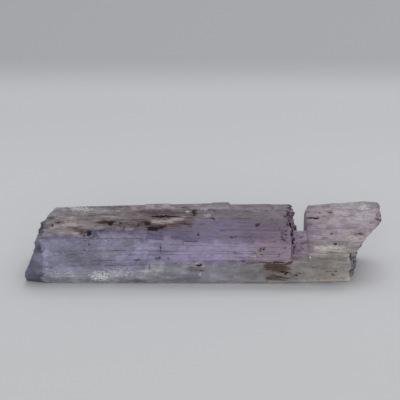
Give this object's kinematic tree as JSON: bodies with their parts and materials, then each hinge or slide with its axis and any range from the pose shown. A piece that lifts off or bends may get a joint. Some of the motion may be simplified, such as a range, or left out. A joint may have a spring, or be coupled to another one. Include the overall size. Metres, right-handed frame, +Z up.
{
  "type": "kunzite crystal",
  "caption": "Long flattened natural crystal prism with striated faces, a slanting left end, a splintery right end and a slot broken out of its top.",
  "frame": {"origin": "middle of the crystal's footprint, on the surface it lies on", "axes": "+X along the crystal from its slanting end to its splintery end, +Y from front to back, +Z up"},
  "size_m": [0.0798, 0.0174, 0.0148],
  "materials": {
    "kunzite": "clear to cloudy lilac, violet and pink, with brown iron stains"
  },
  "bodies": {
    "root": {"kunzite_crystal": "kunzite"}
  },
  "joints": []
}
